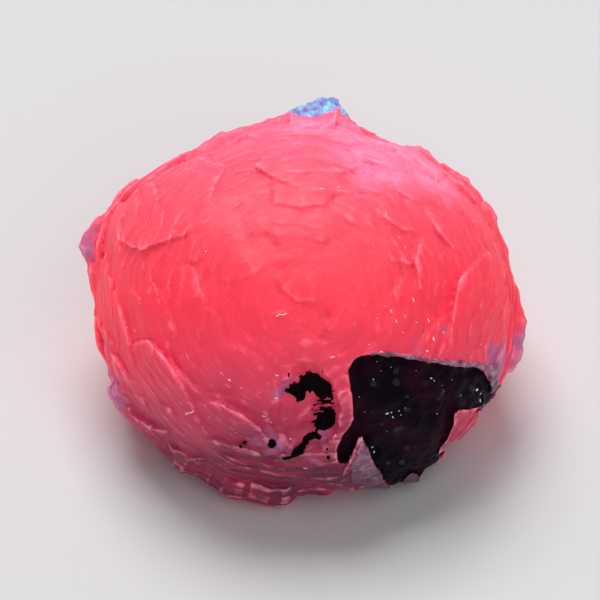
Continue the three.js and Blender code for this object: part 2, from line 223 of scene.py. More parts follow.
# Pale grains that glow a little, set where the rock and the calcite glint, as painted glints:
# pixel, length, width and direction.
ROCK_PAINTED_GLINTS = [
    (372.5, 378.5, 1.8, 1.6, 0), (386.5, 412.5, 5.0, 2.2, 0), (390.5, 411.5, 3.0, 1.6, 30),
    (392, 416, 3.2, 1.3, -60), (398, 410, 2.4, 1.6, 80), (400, 414, 1.4, 1.0, 0),
    (358.5, 396, 1.3, 1.0, 0), (390, 366.5, 1.4, 1.2, 0), (380, 370, 1.1, 0.8, 0),
    (430, 377.5, 3.0, 2.4, -40), (433, 380, 2.6, 1.2, -30), (476, 389.5, 5.5, 3.2, 15),
    (480, 393, 4.0, 1.8, -70), (479.5, 400, 5.0, 2.0, -75), (460, 395, 4.5, 0.7, 10),
    (371.5, 446, 3.4, 2.2, 80), (373.5, 451, 3.0, 2.0, 60), (436, 413, 2.2, 1.0, 40),
    (441, 385, 1.3, 1.0, 0), (386, 430, 1.1, 1.0, 0), (381, 423, 1.0, 0.9, 0),
    (404, 407, 1.2, 1.0, 0), (443, 391, 1.0, 1.0, 0), (364, 411, 1.2, 1.0, 0),
    (376, 361, 1.3, 1.0, 0), (415, 370, 1.0, 0.8, 0), (451, 379, 2.2, 0.7, 0),
    (349.5, 455, 1.2, 1.0, 0),
]
CALCITE_PAINTED_GLINTS = [
    (207, 252, 2.6, 1.6, 30), (412, 300, 7.0, 1.6, -75), (390, 311, 5.0, 1.8, -60),
    (395, 321, 5.0, 1.5, -65), (427, 320, 6.0, 1.6, -55), (432, 338, 7.0, 2.0, -75),
    (425, 350, 6.0, 1.5, -30), (384, 306, 2.4, 1.0, -40), (404, 316, 2.2, 1.0, -60),
    (415, 322, 2.6, 1.0, -30), (442, 332, 3.0, 1.2, -60), (376, 318, 2.0, 0.8, 0),
    (402, 332, 2.4, 0.9, -20), (380, 351, 5.0, 1.2, 0), (368, 344, 1.8, 0.9, 0),
    (364, 305, 1.4, 1.0, 0), (354, 323, 1.2, 0.9, 0), (230, 379, 4.5, 2.2, -40),
    (242, 387, 2.2, 1.6, 0), (222, 372, 2.4, 1.2, 0), (277, 374.5, 5.0, 1.8, -10),
    (276, 397, 4.5, 1.8, -20), (290.5, 437.5, 2.0, 1.8, 0), (318.5, 438, 1.6, 1.6, 0),
    (271, 421, 4.0, 1.4, -35), (264, 415, 5.0, 1.2, -20), (335, 434, 2.4, 1.2, 0),
    (286, 443, 1.6, 1.2, 0), (305, 467, 6.0, 1.4, -12), (323, 386, 3.6, 1.2, -20),
    (210, 416, 1.4, 1.2, 0), (182, 402, 1.6, 1.2, 0), (253, 450, 1.6, 1.2, 0),
    (236, 431, 1.4, 1.2, 0), (162, 372, 1.2, 1.0, 0), (341, 118, 3.0, 1.6, -60),
    (352, 126, 3.0, 1.4, -40), (365, 134, 3.4, 1.6, -40), (378, 143, 4.0, 1.4, -10),
    (398, 238, 5.0, 1.0, -50), (404, 248, 4.0, 0.8, -40), (377, 210, 1.6, 1.2, 0),
    (322, 190, 6.0, 1.2, 10), (338, 188, 5.0, 1.2, 0), (228, 300, 1.0, 0.9, 0),
    (152, 236, 1.2, 1.0, 0), (466, 352, 2.6, 1.2, 20), (480, 344, 2.2, 1.4, 60),
]
LINT = [
    [(277, 316), (280, 314.2), (284, 314.6), (287, 312.8)],
    [(330, 357), (332, 355.6), (334.5, 356.4)],
    [(187, 413), (190, 411.4), (193, 411.2), (195, 409)],
]

# The pale crust's mound: the pixel of its middle, how far out it lies, and its radii.
MOUND_PIXEL = (317, 122)
MOUND_OUT = -0.6
MOUND_RADII = (6.1, 4.7, 3.6)

# The right arm of the dark rock lies on a shelf of calcite, this far across and this deep.
SHELF_ACROSS = 21.4
SHELF_DEPTH = -4

# The broken hollow: its middle on the face, its radii across, up and deep, and its rise.
HOLLOW_ACROSS = 0.4
HOLLOW_UP = -17.2
HOLLOW_RADII = [5.8, 8.6, 3.0]
HOLLOW_RISE = 1.9

# Cloudy lilac patches in the calcite: across, up and out on the face, and how far each spreads.
LILAC_PATCHES = [
    (1.6, -23.6, 15.5, 3.4), (-5.6, -20.8, 18.0, 3.6), (-4.2, -13.4, 22.5, 3.4),
    (3.4, -20.6, 17.5, 3.4), (-1.8, -22.4, 17.0, 3.2), (-12.0, -11.6, 21.5, 3.0),
    (16.5, -7.0, 21.0, 4.5), (29.5, -9.5, 9.0, 6.5), (-33.5, 8.5, 0.0, 5.0),
    (33.0, -8.0, 0.0, 7.0), (-30.0, -14.5, 3.0, 5.0), (16.0, -3.0, 21.5, 3.0),
    (20.0, -4.0, 19.0, 3.0), (-8.5, -17.0, 19.5, 2.6),
]

# Pale pink patches high on the right, where the light falls strongest, the same way: a painted
# highlight.
PAINTED_HIGHLIGHT_PATCHES = [
    (11.0, 20.0, 15.0, 11.0), (14.0, 24.0, 7.0, 9.0), (8.0, 26.0, 8.0, 8.0),
    (19.0, 19.0, 10.0, 9.0), (1.0, 27.0, 8.0, 7.0),
]

# Painted shade: deep maroon patches low down between the crust and the wedge, where shade falls,
# the same way.
PAINTED_SHADE_PATCHES = [(5.0, -27.0, 12.0, 7.0), (-2.0, -29.0, 8.0, 6.0), (10.0, -28.0, 8.0, 6.0)]

# How far the calcite's middle is worn soft, how far in the plates near the outline lie, and how
# wide that band and the calm middle are.
SOFT_REACH = 25
OUTLINE_INSET = 1.5
OUTLINE_BAND = math.radians(20)
CALM_EDGE = math.radians(50)

# Further out than anything here reaches.
FAR = 60

# The picture's width and the ball's middle in it, in pixels, and its scale.
PICTURE_WIDTH = 600
PICTURE_MIDDLE = (303, 301)
PIXELS_PER_MM = 6.386

# How high the plates' skin stands over the ball on the whole, the steps that smooth the surface
# from which each standing rim and sunken cleft is told for its painted highlight and painted
# shade, and the most triangles that it keeps.
SKIN_RISE = 0.75
RIM_STEPS = 24
MOST_TRIANGLES = 190000

# The calcite's relief: ledges by their spacing, height, wander, the wander's width and the width of
# the patches they grow in, and soft swells by their height and width.
LEDGES = ((2.7, 0.2, 15.0, 9.0, 7.0), (1.4, 0.11, 11.0, 6.0, 5.0))
CALCITE_SWELL = 0.22
CALCITE_SWELL_WIDTH = 3.2

# The rock: how far its core lies under the ball and aside, how far it laps under the calcite, and
# its relief by kind, width and height.
ROCK_INSET = 0.9
ROCK_SHIFT = (0.6, -1.6, -0.8)
ROCK_LAP = 0.7
ROCK_RELIEF = (("CLOUDS", 5.0, 1.6), ("VORONOI", 2.6, 0.9), ("VORONOI", 1.0, 0.3))

# How finely each piece is remeshed.
CALCITE_VOXEL = 0.27
ROCK_VOXEL = 0.4
DARK_VOXEL = 0.13
QUARTZ_VOXEL = 0.19
PALE_VOXEL = 0.2

# The crusts: what each grows on, its outlines, how far it swells and how deep it reaches.
CRUSTS = (
    ("dark_crust", "low_right", ("dark_crust_cap", "dark_crust_foot"), 0.3, 13),
    ("dark_crust_tail", "low_right", ("dark_crust_tail",), 0.35, 12),
    ("dark_grain", "low_right", ("dark_grain",), 0.4, 14),
    ("quartz_rim", "low_right", ("rim_top", "rim_end"), 0.25, 0),
    ("quartz_wedge", "low_right", ("quartz_wedge",), 0.3, -10),
    ("quartz_foot", "broken_rock", ("quartz_foot",), 0.5, -10),
)
RIB_HEIGHT = 0.24
LINT_WIDTH = 0.12

# The part of the calcite that the crusts grow on, between two corners of the face's frame.
CRUST_WINDOW = ((-16, -40, -10), (40, -2, 40))

# The calcite's tones from its darkest, lowest edge up to its paler top: painted shade low down and
# painted light on top.
CALCITE_TONES_AND_PAINTED_SHADING = (
    (0.09, "#440424"), (0.16, "#80203e"), (0.274, "#bd324e"), (0.37, "#d33148"),
    (0.484, "#e12f41"), (0.629, "#dc3c4d"), (0.774, "#e04c60"), (0.93, "#ea5c7a"),
)

# The stage, in metres and watts: each lamp's way from the part as shares across, up and out, its
# distance, size and power, the sky's strength, and the camera's distance and sensor in millimetres.
LAMPS = (("key", (-0.1, 0.85, 0.5), 1.6, 0.9, 21.0), ("fill", (0.25, 0.1, 1.0), 1.2, 0.9, 3.6))
SKY_STRENGTH = 0.22
FLOOR_SIZE = 4
CAMERA_AWAY = 2000
SENSOR_WIDTH = 36

# The face's frame, across, up and out from the ball's middle, in metres and in millimetres.
FACE = Matrix.Translation((0, 0, MIDDLE_HEIGHT * MM)) @ Matrix.Rotation(
    math.pi / 2 - AXIS_ELEVATION, 4, "X"
)
IN_MM = Matrix.Scale(MM, 4)
FACE_MM = FACE @ IN_MM


def chance(n):
    """A fixed value from 0 to 1 for a whole number, the same as in the part's source."""
    wave = math.sin(n * 12.9898 + 4.1414) * 43758.5453
    return wave - math.floor(wave)


def within(limit, n):
    """A fixed value between minus and plus a limit."""
    return limit * (2 * chance(n) - 1)


def about(middle, share, n):
    """A fixed value about a middle one, up to a share of it to either side."""
    return middle * (1 + within(share, n))


def linear(hex_colour):
    """The linear colour of an sRGB hex value."""
    shares = [int(hex_colour[i : i + 2], 16) / 255 for i in (1, 3, 5)]
    return [s / 12.92 if s <= 0.04045 else ((s + 0.055) / 1.055) ** 2.4 for s in shares]


def rgba(hex_colour):
    return (*linear(hex_colour), 1)


def outline_radius(angle):
    """The outline's radius at an angle, on a smooth closed curve through the driving radii."""
    count = len(OUTLINE_RADII)
    place = (angle / (2 * math.pi) * count) % count
    i = math.floor(place)
    t = place - i
    a, b, c, d = (OUTLINE_RADII[(i + k) % count] for k in (-1, 0, 1, 2))
    return b + 0.5 * t * (c - a + t * (2 * a - 5 * b + 4 * c - d + t * (3 * (b - c) + d - a)))


def on_ball(polar, angle, inset=0.0):
    """A point on the ball, at an angle from the rosette's axis and one round it."""
    depth = (FRONT_DEPTH if polar < math.pi / 2 else BACK_DEPTH) - inset
    radius = outline_radius(angle) - inset
    reach = 1 / math.hypot(math.cos(polar) / depth, math.sin(polar) / radius)
    return reach * Vector(
        (math.sin(polar) * math.cos(angle), math.sin(polar) * math.sin(angle), math.cos(polar))
    )


def frame_on_ball(polar, angle, rise):
    """A frame on the ball: on round the ring, towards the axis, and outwards, at a rise."""
    at = on_ball(polar, angle)
    towards_axis = (on_ball(polar - 0.02, angle) - at).normalized()
    ring_way = (on_ball(polar, angle + 0.02) - at).normalized()
    outward = towards_axis.cross(ring_way).normalized()
    if outward.dot(at) < 0:
        outward.negate()
    side = towards_axis.cross(outward).normalized()
    turned = Matrix((side, towards_axis, outward)).transposed().to_4x4()
    return Matrix.Translation(at + rise * outward) @ turned


def over_ball(spot, height):
    """The point of the ball over a spot on the face, at a height over it."""
    angle = math.atan2(spot.y, spot.x)
    polar = math.asin(min(0.995, spot.length / outline_radius(angle)))
    return frame_on_ball(polar, angle, height).translation


def on_face(pixel):
    """Where a pixel of the picture lies, across and up on the rosette's face."""
    x, y = pixel
    left, top = PICTURE_MIDDLE
    return Vector(((x - left) / PIXELS_PER_MM, (top - y) / PIXELS_PER_MM))


def only(*things):
    """Leaves just these objects selected, the first of them active."""
    if bpy.context.object and bpy.context.object.mode != "OBJECT":
        bpy.ops.object.mode_set(mode="OBJECT")
    bpy.ops.object.select_all(action="DESELECT")
    for thing in things:
        thing.select_set(True)
    bpy.context.view_layer.objects.active = things[0]


def edit(thing):
    """Goes into edit mode on one object, with all of it selected."""
    only(thing)
    bpy.ops.object.mode_set(mode="EDIT")
    bpy.ops.mesh.select_mode(type="VERT")
    bpy.ops.mesh.select_all(action="SELECT")


def leave_edit():
    bpy.ops.object.mode_set(mode="OBJECT")


def leave_closed():
    """Turns the faces of a closed mesh outwards and leaves edit mode."""
    bpy.ops.mesh.select_all(action="SELECT")
    bpy.ops.mesh.normals_make_consistent(inside=False)
    leave_edit()


def primitive(name, add, **settings):
    """The object that one of Blender's add operators makes, under a name."""
    bpy.ops.object.select_all(action="DESELECT")
    add(**settings)
    bpy.context.object.name = name
    return bpy.context.object


def placed(name, data):
    """A new object in the scene with its mesh, lamp or lens."""
    made = bpy.data.objects.new(name, data)
    bpy.context.scene.collection.objects.link(made)
    return made


def discard(*things):
    for thing in things:
        mesh = thing.data
        bpy.data.objects.remove(thing)
        bpy.data.meshes.remove(mesh)


def apply(thing, kind, **settings):
    """Adds a modifier with its settings and applies it."""
    only(thing)
    change = thing.modifiers.new(kind.lower(), kind)
    for name, value in settings.items():
        setattr(change, name, value)
    bpy.ops.object.modifier_apply(modifier=change.name)


def remesh(thing, voxel):
    apply(thing, "REMESH", mode="VOXEL", voxel_size=voxel * MM)


def combine(thing, operation, other):
    """Joins, cuts or meets a closed object with another object or a collection of them."""
    kind = "COLLECTION" if isinstance(other, bpy.types.Collection) else "OBJECT"
    operand = {"operand_type": kind, kind.lower(): other}
    apply(thing, "BOOLEAN", operation=operation, solver="MANIFOLD", **operand)


def fuse(thing, parts):
    """Joins closed objects onto one, all at once."""
    group = bpy.data.collections.new("parts")
    bpy.context.scene.collection.children.link(group)
    for part in parts:
        for home in list(part.users_collection):
            home.objects.unlink(part)
        group.objects.link(part)
    combine(thing, "UNION", group)
    discard(*parts)
    bpy.data.collections.remove(group)


def copy_of(thing, name):
    """An object of its own with a copy of another's mesh, its corners merged."""
    copied = placed(name, thing.data.copy())
    edit(copied)
    bpy.ops.mesh.remove_doubles(threshold=1e-6)
    leave_edit()
    return copied


def largest_shell(thing):
    """Keeps the largest loose shell of an object."""
    edit(thing)
    bpy.ops.mesh.separate(type="LOOSE")
    leave_edit()
    shells = sorted(bpy.context.selected_objects, key=lambda shell: len(shell.data.polygons))
    name = thing.name
    discard(*shells[:-1])
    shells[-1].name = name
    return shells[-1]


def weigh(thing, weight):
    """Weighs each corner of a mesh by its place, and returns the weights' name."""
    weights = thing.vertex_groups.new(name="weights")
    for corner in thing.data.vertices:
        weights.add([corner.index], weight(corner.co), "REPLACE")
    return weights.name


def roughen(thing, kind, width, height):
    """Moves a surface in and out by a procedural texture, with swells of a width and a height."""
    texture = bpy.data.textures.new(thing.name + "_" + kind.lower(), kind)
    texture.noise_scale = width * MM
    apply(
        thing,
        "DISPLACE",
        texture=texture,
        texture_coords="LOCAL",
        strength=height * MM,
        mid_level=0.5,
    )


def grow_ledges(thing, spacing, height, wander, wander_width, patch_width):
    """Steps a surface in wavy ledges round the rosette's middle, each one's edge towards it. They
    fade in and out in patches, and are fainter in the calm middle."""
    only(thing)
    pole = placed("pole", None)
    # A wood texture's rings lie 2 pi / 20 of its unit apart.
    unit = spacing * 20 / (2 * math.pi)
    pole.matrix_world = FACE_MM @ Matrix.Translation((0, 0, FRONT_DEPTH)) @ Matrix.Scale(unit, 4)
    to_face = FACE_MM.inverted()

    def fading(place):
        cloud = noise.noise(place / (patch_width * MM) + Vector((spacing, 0, 0)))
        calm = min(1.0, 0.25 + ((to_face @ place).xy.length / SOFT_REACH) ** 2)
        return calm * max(0.0, min(1.0, 0.62 + 1.1 * cloud))

    patchy = weigh(thing, fading)
    texture = bpy.data.textures.new(f"ledges_{spacing}", "WOOD")
    texture.wood_type = "RINGNOISE"
    texture.noise_basis_2 = "SAW"
    texture.noise_scale = wander_width / unit
    texture.turbulence = wander
    apply(
        thing,
        "DISPLACE",
        texture=texture,
        texture_coords="OBJECT",
        texture_coords_object=pole,
        strength=-height * MM,
        mid_level=0.5,
        vertex_group=patchy,
    )
    thing.vertex_groups.clear()
    bpy.data.objects.remove(pole)


def soften_middle(thing):
    """Wears the surface soft about the rosette's middle, and less and less further out."""
    to_face = FACE_MM.inverted()

    def softness(corner):
        place = to_face @ corner
        return max(0.0, 1 - (place.xy.length / SOFT_REACH) ** 2 if place.z > 0 else 0)

    apply(thing, "SMOOTH", factor=0.5, iterations=16, vertex_group=weigh(thing, softness))
    thing.vertex_groups.clear()


def mark_rim_light_and_cleft_shade(thing):
    """Marks how many millimetres each corner stands out of the surface about it, for a painted pale
    highlight on each rim and a painted dark shade in each cleft."""
    softened = placed("softened", thing.data.copy())
    apply(softened, "SMOOTH", factor=0.5, iterations=RIM_STEPS)
    rim_light_and_cleft_shade = thing.data.attributes.new("rim_light_and_cleft_shade", "FLOAT", "POINT")
    for corner, soft in zip(thing.data.vertices, softened.data.vertices):
        rim_light_and_cleft_shade.data[corner.index].value = (corner.co - soft.co).dot(corner.normal) / MM
    discard(softened)


def settle(thing, finish, body_slot, *nodes, smooth=35):
    """Gives a finished piece its material and shading, puts it under the root, and hides the
    imported parts that it stands for.
    """
    thing.data.materials.clear()
    thing.data.materials.append(finish)
    only(thing)
    bpy.ops.object.shade_smooth_by_angle(angle=math.radians(smooth))
    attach(thing, "root")
    if nodes:
        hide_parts(*nodes)


def column(name, outline, low, high, wiggle, seed):
    """A closed column over an outline of the face, its edges broken unevenly."""
    block = primitive(
        name,
        bpy.ops.mesh.primitive_circle_add,
        vertices=len(outline),
        radius=1,
        fill_type="NOTHING",
    )
    for corner, (across, up) in zip(block.data.vertices, outline):
        corner.co = (across, up, low)
    edit(block)
    bpy.ops.mesh.subdivide(number_cuts=3, fractal=wiggle, fractal_along_normal=0, seed=seed)
    bpy.ops.mesh.select_all(action="SELECT")
    bpy.ops.transform.resize(value=(1, 1, 0), center_override=(0, 0, low))
    bpy.ops.mesh.edge_face_add()
    bpy.ops.mesh.extrude_region_move(TRANSFORM_OT_translate={"value": (0, 0, high - low)})
    leave_closed()
    block.data.transform(FACE_MM)
    return block


def traced(name, wiggle, seed):
    """A closed column right through, over one of the outlines in the picture."""
    return column(name, [on_face(pixel) for pixel in OUTLINES[name]], -FAR, FAR, wiggle, seed)


def plate_master(number):
    """One plate, one across and millimetres deep: a crowned top with a growth step, a thin rim
    that stands clear of what is under it, and a root that tapers into the ball."""
    plate = primitive(
        f"plate_{number}",
        bpy.ops.mesh.primitive_circle_add,
        vertices=PLATE_SIDES,
        radius=1,
        fill_type="NGON",
    )
    edit(plate)
    bpy.ops.transform.vertex_random(offset=0.11, uniform=1, normal=0, seed=number + 1)
    bpy.ops.mesh.select_mode(type="FACE")
    for inset, rise in ((0.04, 0.16), (0.26, 0.42), (0.03, 0.1), (0.3, 0.2)):
        bpy.ops.mesh.inset(thickness=inset)
        bpy.ops.transform.translate(value=(0, 0, rise))
    bpy.ops.mesh.select_mode(type="EDGE")
    bpy.ops.mesh.select_all(action="DESELECT")
    bpy.ops.mesh.select_non_manifold(
        extend=False,
        use_wire=False,
        use_boundary=True,
        use_multi_face=False,
        use_non_contiguous=False,
        use_verts=False,
    )
    for drop, taper in ((0.28, 0.99), (0.6, 0.9), (PLATE_ROOT, 0.25)):
        bpy.ops.mesh.extrude_edges_move(TRANSFORM_OT_translate={"value": (0, 0, -drop)})
        bpy.ops.transform.resize(value=(taper, taper, 1), center_override=(0, 0, 0))
    bpy.ops.mesh.edge_face_add()
    leave_closed()
    for corner in plate.data.vertices:
        corner.co.z -= PLATE_SIDE_SAG * corner.co.x**2
    return plate


def plate_on_ball(master, number, place):
    """A copy of a plate set on the ball, its free edge lifted, and one end of it."""
    mesh = master.data.copy()
    turned = Matrix.Rotation(math.pi * round(chance(place["seed"] + 9)), 4, "Z")
    sized = Matrix.Diagonal((place["half_width"], place["half_length"], 1, 1))
    lifted = (
        Matrix.Rotation(place["yaw"], 4, "Z")
        @ Matrix.Rotation(-place["end_lift"], 4, "Y")
        @ Matrix.Rotation(place["lift"], 4, "X")
    )
    on = frame_on_ball(place["polar"], place["angle"], place["rise"])
    mesh.transform(FACE_MM @ on @ lifted @ sized @ turned)
    return placed(f"petal_{number}", mesh)


def ring_places():
    """The places of the plates in their rings, from the rosette's middle round to its back. Every
    second ring holds the part's own plates, and the rings between hold smaller ones. The plates
    lift most at the lower left."""
    places = []
    edge = FIRST_RING
    ring = 0
    while edge < LAST_RING:
        middle = edge + 0.45 * PLATE_LENGTH / MEAN_RADIUS
        around = 2 * math.pi * MEAN_RADIUS * math.sin(middle)
        between = ring % 2
        calm = min(1.0, (middle / CALM_EDGE) ** 2)
        in_band = math.exp(-(((middle - math.pi / 2) / OUTLINE_BAND) ** 2))
        count = max(3, round(around / (PLATE_SPACING * (0.85 if between else 1))))
        for i in range(count):
            seed = (ring // 2) * 100 + i * 7 + 37 * between
            angle = 2 * math.pi * (i + 0.5 * ((ring // 2) % 2) + within(0.3, seed + 3)) / count
            lower_left = max(0.0, math.cos(angle - math.radians(225))) * math.sin(middle) ** 2
            lift = EDGE_LIFT * (0.3 + 0.7 * calm) * (1 + 0.5 * lower_left)
            places.append(
                {
                    "polar": middle + within(0.35 * RING_SPACING, seed + 2) / MEAN_RADIUS,
                    "angle": angle,
                    "half_width": about(HALF_WIDTH_SHARE * around / count, 0.3, seed),
                    "half_length": about(PLATE_LENGTH / 2, 0.15, seed + 1),
                    "lift": about(lift, 0.35, seed + 5),
                    "end_lift": END_LIFT * chance(seed + 6) * math.cos(angle),
                    "yaw": within(0.3, seed + 7),
                    "rise": PLATE_RISE + within(0.14, seed + 8) - OUTLINE_INSET * in_band,
                    "seed": seed,
                }
            )
        edge += RING_SPACING / MEAN_RADIUS
        ring += 1
    return places


def resampled(pixels, step, jitter, seed):
    """Points on the face about a step apart along some pixels, each moved sideways a little."""
    spots = [on_face(pixel) for pixel in pixels]
    lengths = [(b - a).length for a, b in zip(spots, spots[1:])]
    count = max(3, round(sum(lengths) / step))
    out = []
    for k in range(count + 1):
        left = sum(lengths) * k / count
        i = 0
        while i < len(lengths) - 1 and left > lengths[i]:
            left -= lengths[i]
            i += 1
        way = (spots[i + 1] - spots[i]) / lengths[i]
        aside = Vector((-way.y, way.x)) * within(jitter, seed + k)
        out.append(spots[i] + way * min(left, lengths[i]) + aside)
    return out


def sheet_through(name, rows, inner):
    """A closed sheet through rows of points in the face's frame. Its inner side is the outer one
    drawn in towards the ball's middle."""
    sheet = primitive(
        name,
        bpy.ops.mesh.primitive_grid_add,
        x_subdivisions=len(rows[0]) - 1,
        y_subdivisions=len(rows) - 1,
        size=1,
    )
    for corner, place in zip(sheet.data.vertices, [place for row in rows for place in row]):
        corner.co = place
    edit(sheet)
    bpy.ops.mesh.extrude_region_move()
    bpy.ops.transform.resize(value=inner, center_override=(0, 0, 0))
    leave_closed()
    sheet.data.transform(FACE_MM)
    return sheet


def front_sheet(name, pixels, reach, height, seed):
    """A sheet on the ball whose free edge follows some pixels: it stands proudest there, fades at
    both ends of that edge and sinks into the ball at its far side."""
    edge = resampled(pixels, 0.9, 0.22, seed)
    rows = []
    for share, stand in ((0.0, 1.0), (0.12, 0.97), (0.5, 0.35), (1.0, -0.9)):
        row = []
        for i, spot in enumerate(edge):
            end = math.sin(math.pi * (i + 0.4) / (len(edge) - 0.2)) ** 0.35
            rise = SKIN_RISE + height * (stand if stand < 0 else stand * (1.6 * end - 0.6))
            row.append(over_ball(spot + spot.normalized() * reach * share, rise))
        rows.append(row)
    return sheet_through(name, rows, (0.9, 0.9, 0.9))


def outline_sheet(name, pixels, before, behind, seed):
    """A sheet round the outline whose outer edge follows some pixels. It leans in before and behind
    the outline, as the ball does, and its front edge is uneven."""
    edge = resampled(pixels, 0.8, 0.16, seed)
    rows = []
    for out, lean, uneven in (
        (behind, 0.92, 0), (behind * 0.5, 0.975, 0), (0.0, 1.0, 0),
        (before * 0.5, 0.985, 1.6), (before, 0.92, 1.6),
    ):
        row = []
        for i, spot in enumerate(edge):
            wave = uneven * noise.noise(Vector((seed, 0.3 * i, 0)))
            row.append((*(spot * lean), out + wave))
        rows.append(row)
    return sheet_through(name, rows, (0.86, 0.86, 0.7))


def ball_core(name, inset):
    """A ball some inset inside the plates' ball."""
    core = primitive(name, bpy.ops.mesh.primitive_ico_sphere_add, subdivisions=4, radius=1)
    for corner in core.data.vertices:
        polar = math.acos(max(-1, min(1, corner.co.z)))
        corner.co = on_ball(polar, math.atan2(corner.co.y, corner.co.x), inset)
    core.data.transform(FACE_MM)
    return core


def block_below():
    """Everything under the break that the specimen stands on, to cut with."""
    middle = (0, 0, -2 * FAR * MM)
    add = bpy.ops.mesh.primitive_cube_add
    block = primitive("below", add, size=4 * FAR * MM, location=middle)
    bpy.ops.object.transform_apply(location=True, rotation=True, scale=True)
    return block


def block_between(name, low, high):
    """A closed block between two corners in the face's frame."""
    block = primitive(name, bpy.ops.mesh.primitive_cube_add, size=1)
    low, high = Vector(low), Vector(high)
    sized = Matrix.Diagonal((*(high - low), 1))
    block.data.transform(FACE_MM @ Matrix.Translation((low + high) / 2) @ sized)
    return block


def shelf_block():
    """The calcite shelf under the rock's right arm."""
    low = (SHELF_ACROSS, -FAR, SHELF_DEPTH - 2 * FAR)
    return block_between("shelf", low, (SHELF_ACROSS + FAR, FAR, SHELF_DEPTH))


def hollow_bowl():
    """The broken hollow's bowl, level with the ball where it lies, with uneven swells."""
    bowl = primitive("bowl", bpy.ops.mesh.primitive_ico_sphere_add, subdivisions=4, radius=1)
    polar = math.asin(math.hypot(HOLLOW_ACROSS, HOLLOW_UP) / MEAN_RADIUS)
    on = frame_on_ball(polar, math.atan2(HOLLOW_UP, HOLLOW_ACROSS), HOLLOW_RISE)
    bowl.data.transform(FACE_MM @ on @ Matrix.Diagonal((*HOLLOW_RADII, 1)))
    roughen(bowl, "CLOUDS", 2.2, 2.6)
    return bowl


def pale_mound():
    """The rounded mound that the pale crust is cut from."""
    mound = primitive("mound", bpy.ops.mesh.primitive_ico_sphere_add, subdivisions=4, radius=1)
    at = Matrix.Translation((*on_face(MOUND_PIXEL), MOUND_OUT))
    mound.data.transform(FACE_MM @ at @ Matrix.Diagonal((*MOUND_RADII, 1)))
    return mound


def node(tree, kind, inputs=None, stops=(), **settings):
    """Adds a node with its settings, links or values for its inputs, and a ramp's stops."""
    made = tree.nodes.new(kind)
    for name, value in settings.items():
        setattr(made, name, value)
    for socket, value in (inputs or {}).items():
        if isinstance(value, bpy.types.NodeSocket):
            tree.links.new(value, made.inputs[socket])
        else:
            made.inputs[socket].default_value = value
    if stops:
        held = made.color_ramp.elements
        for end, (position, colour) in zip((held[0], held[1]), (stops[0], stops[-1])):
            end.position, end.color = position, rgba(colour)
        for position, colour in stops[1:-1]:
            held.new(position).color = rgba(colour)
    return made


def material(name, surface):
    """A material whose shader takes the inputs that a function of its node tree gives."""
    made = bpy.data.materials.new(name)
    made.use_nodes = True
    tree = made.node_tree
    tree.nodes.clear()
    shader = node(tree, "ShaderNodeBsdfPrincipled", surface(tree))
    node(tree, "ShaderNodeOutputMaterial", {"Surface": shader.outputs["BSDF"]})
    return made


def in_millimetres(tree):
    """A piece's own coordinates, in millimetres."""
    place = {"Vector": node(tree, "ShaderNodeTexCoord").outputs["Object"], "Scale": (1000,) * 3}
    return node(tree, "ShaderNodeMapping", place).outputs["Vector"]


def tinted(tree, colour, value, least, full, tint, most=1.0):
    """A colour that takes on a tint as a value goes from its least to its full, up to a most."""
    range_of = {"Value": value, "From Min": least, "From Max": full, "To Max": most}
    share = node(tree, "ShaderNodeMapRange", range_of).outputs[0]
    mixed = {0: share, 6: colour, 7: rgba(tint)}
    return node(tree, "ShaderNodeMix", mixed, data_type="RGBA").outputs[2]


def patches(tree, face, places):
    """How near the surface is to some places on the face, from 0 to 1."""
    nearest = None
    for across, up, out, size in places:
        place = {0: face, 1: (across, up, out)}
        away = node(tree, "ShaderNodeVectorMath", place, operation="DISTANCE").outputs["Value"]
        near = node(
            tree,
            "ShaderNodeMapRange",
            {"Value": away, "From Min": size, "From Max": 0.2 * size},
            interpolation_type="SMOOTHSTEP",
        ).outputs[0]
        if nearest is not None:
            both = {0: nearest, 1: near}
            near = node(tree, "ShaderNodeMath", both, operation="MAXIMUM").outputs[0]
        nearest = near
    return nearest


